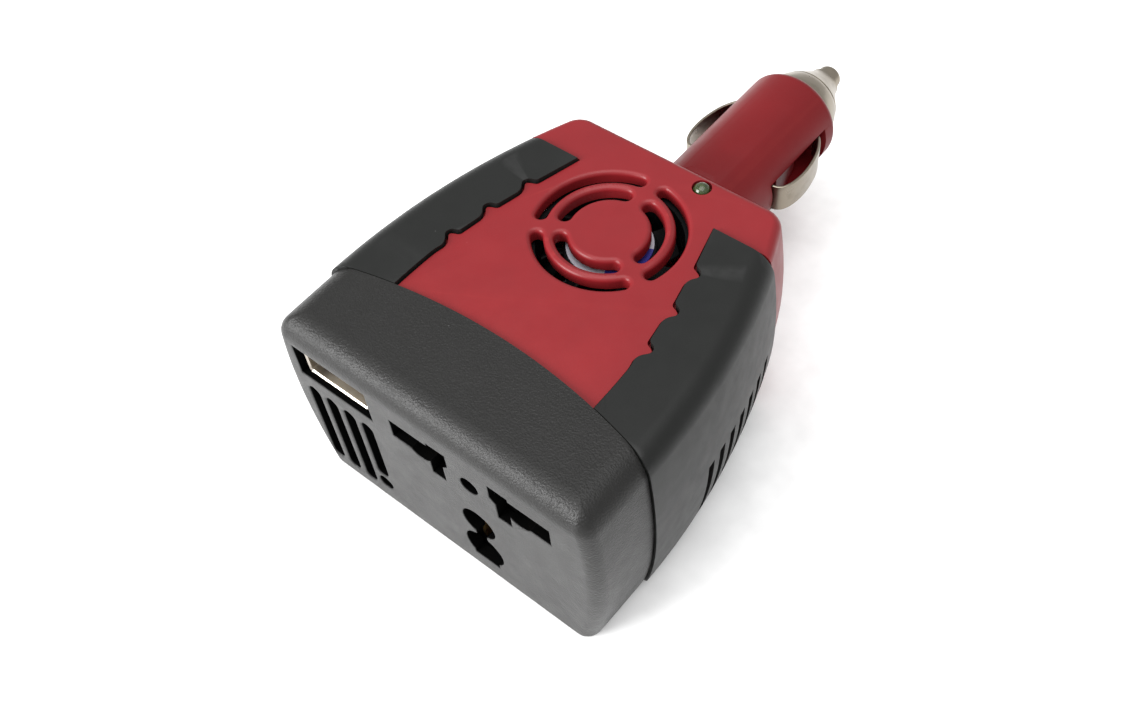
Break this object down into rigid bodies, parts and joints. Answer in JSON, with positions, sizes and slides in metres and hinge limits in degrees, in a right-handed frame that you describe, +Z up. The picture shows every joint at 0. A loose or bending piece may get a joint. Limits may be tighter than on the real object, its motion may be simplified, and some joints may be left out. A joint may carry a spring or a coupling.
{
  "type": "power inverter",
  "caption": "Pocket 12 V car power inverter: tapered red housing, black grips and front cap with USB and universal socket, round fan grille and a swivelling vehicle plug.",
  "frame": {"origin": "centre of the whole object seen from above, on the plane that the housing rests on", "axes": "+X to the right seen from the socket face, +Y from the socket face towards the vehicle plug, +Z up through the fan grille"},
  "size_m": [0.0634, 0.1098, 0.038],
  "materials": {
    "cap_black": "black ABS with a fine spark-eroded grain",
    "grip_black": "satin black plastic side grips",
    "shell_red": "satin red ABS",
    "insulator": "black moulded socket block",
    "nickel": "warm nickel plating",
    "brass": "bright brass strip",
    "steel": "zinc plated steel",
    "white_plastic": "white nylon",
    "led_green": "clear green resin",
    "board_green": "green solder mask",
    "ferrite": "grey ferrite",
    "tape_yellow": "yellow winding tape",
    "copper": "enamelled copper wire",
    "sleeve_blue": "dark blue capacitor sleeve",
    "aluminium": "plain aluminium strip",
    "epoxy_black": "black moulded epoxy",
    "film_red": "red-brown dipped film capacitor",
    "clear_glass": "clear glass tube",
    "wire_red": "red wire insulation",
    "wire_black": "black wire insulation",
    "label_white": "white printed paper disc with a blue sector"
  },
  "bodies": {
    "housing": {"front_cap": "cap_black", "upper_shell": "shell_red", "lower_shell": "shell_red", "left_grip": "grip_black", "right_grip": "grip_black", "case_screw_1": "steel", "case_screw_2": "steel", "case_screw_3": "steel", "case_screw_4": "steel", "status_light": "led_green", "socket_insert": "insulator", "live_contact": "brass", "neutral_contact": "brass", "earth_contact": "brass", "usb_shell": "nickel", "usb_tongue": "white_plastic", "usb_board": "board_green", "main_board": "board_green", "board_screw_1": "steel", "board_screw_2": "steel", "transformer_core": "ferrite", "transformer_winding": "tape_yellow", "input_capacitor": "sleeve_blue", "output_capacitor": "sleeve_blue", "film_capacitor": "film_red", "input_choke": "copper", "control_chip": "epoxy_black", "left_heatsink": "aluminium", "right_heatsink": "aluminium", "transistor_1": "epoxy_black", "transistor_2": "epoxy_black", "transistor_3": "epoxy_black", "transistor_4": "epoxy_black", "fan_frame": "epoxy_black", "fan_screw_1": "steel", "fan_screw_2": "steel", "positive_wire": "wire_red", "negative_wire": "wire_black", "live_wire": "wire_black", "neutral_wire": "wire_black", "swivel_tongue": "shell_red"},
    "plug": {"plug_body": "shell_red", "swivel_pin": "steel", "nose_nut": "nickel", "tip_spring": "steel"},
    "tip": {"tip_contact": "nickel", "fuse_front_cap": "nickel", "fuse_rear_cap": "nickel", "fuse_glass": "clear_glass", "fuse_element": "steel"},
    "fan": {"fan_rotor": "epoxy_black", "fan_label": "label_white"},
    "left_clip": {"left_clip": "nickel"},
    "right_clip": {"right_clip": "nickel"}
  },
  "joints": [
    {"name": "plug_swivel", "type": "hinge", "parent": "housing", "child": "plug", "pos_m": [0, 0.01534, 0.0209], "axis": [-1, 0, 0], "range_deg": [0, 90]},
    {"name": "tip_travel", "type": "slide", "parent": "plug", "child": "tip", "axis": [0, -1, 0], "range_m": [0, 0.0025], "stiffness_N_per_m": 2000, "springref_m": -0.001, "deforming": ["tip_spring"]},
    {"name": "fan_spin", "type": "hinge", "parent": "housing", "child": "fan", "pos_m": [0, -0.0117, 0.0305], "axis": [0, 0, 1], "continuous": true},
    {"name": "left_clip_flex", "type": "hinge", "parent": "plug", "child": "left_clip", "pos_m": [-0.0062, 0.02204, 0.0209], "axis": [0, 0, -1], "range_deg": [0, 6], "stiffness_Nm_per_rad": 0.15, "springref_deg": -1.15},
    {"name": "right_clip_flex", "type": "hinge", "parent": "plug", "child": "right_clip", "pos_m": [0.0062, 0.02204, 0.0209], "axis": [0, 0, 1], "range_deg": [0, 6], "stiffness_Nm_per_rad": 0.15, "springref_deg": -1.15}
  ]
}
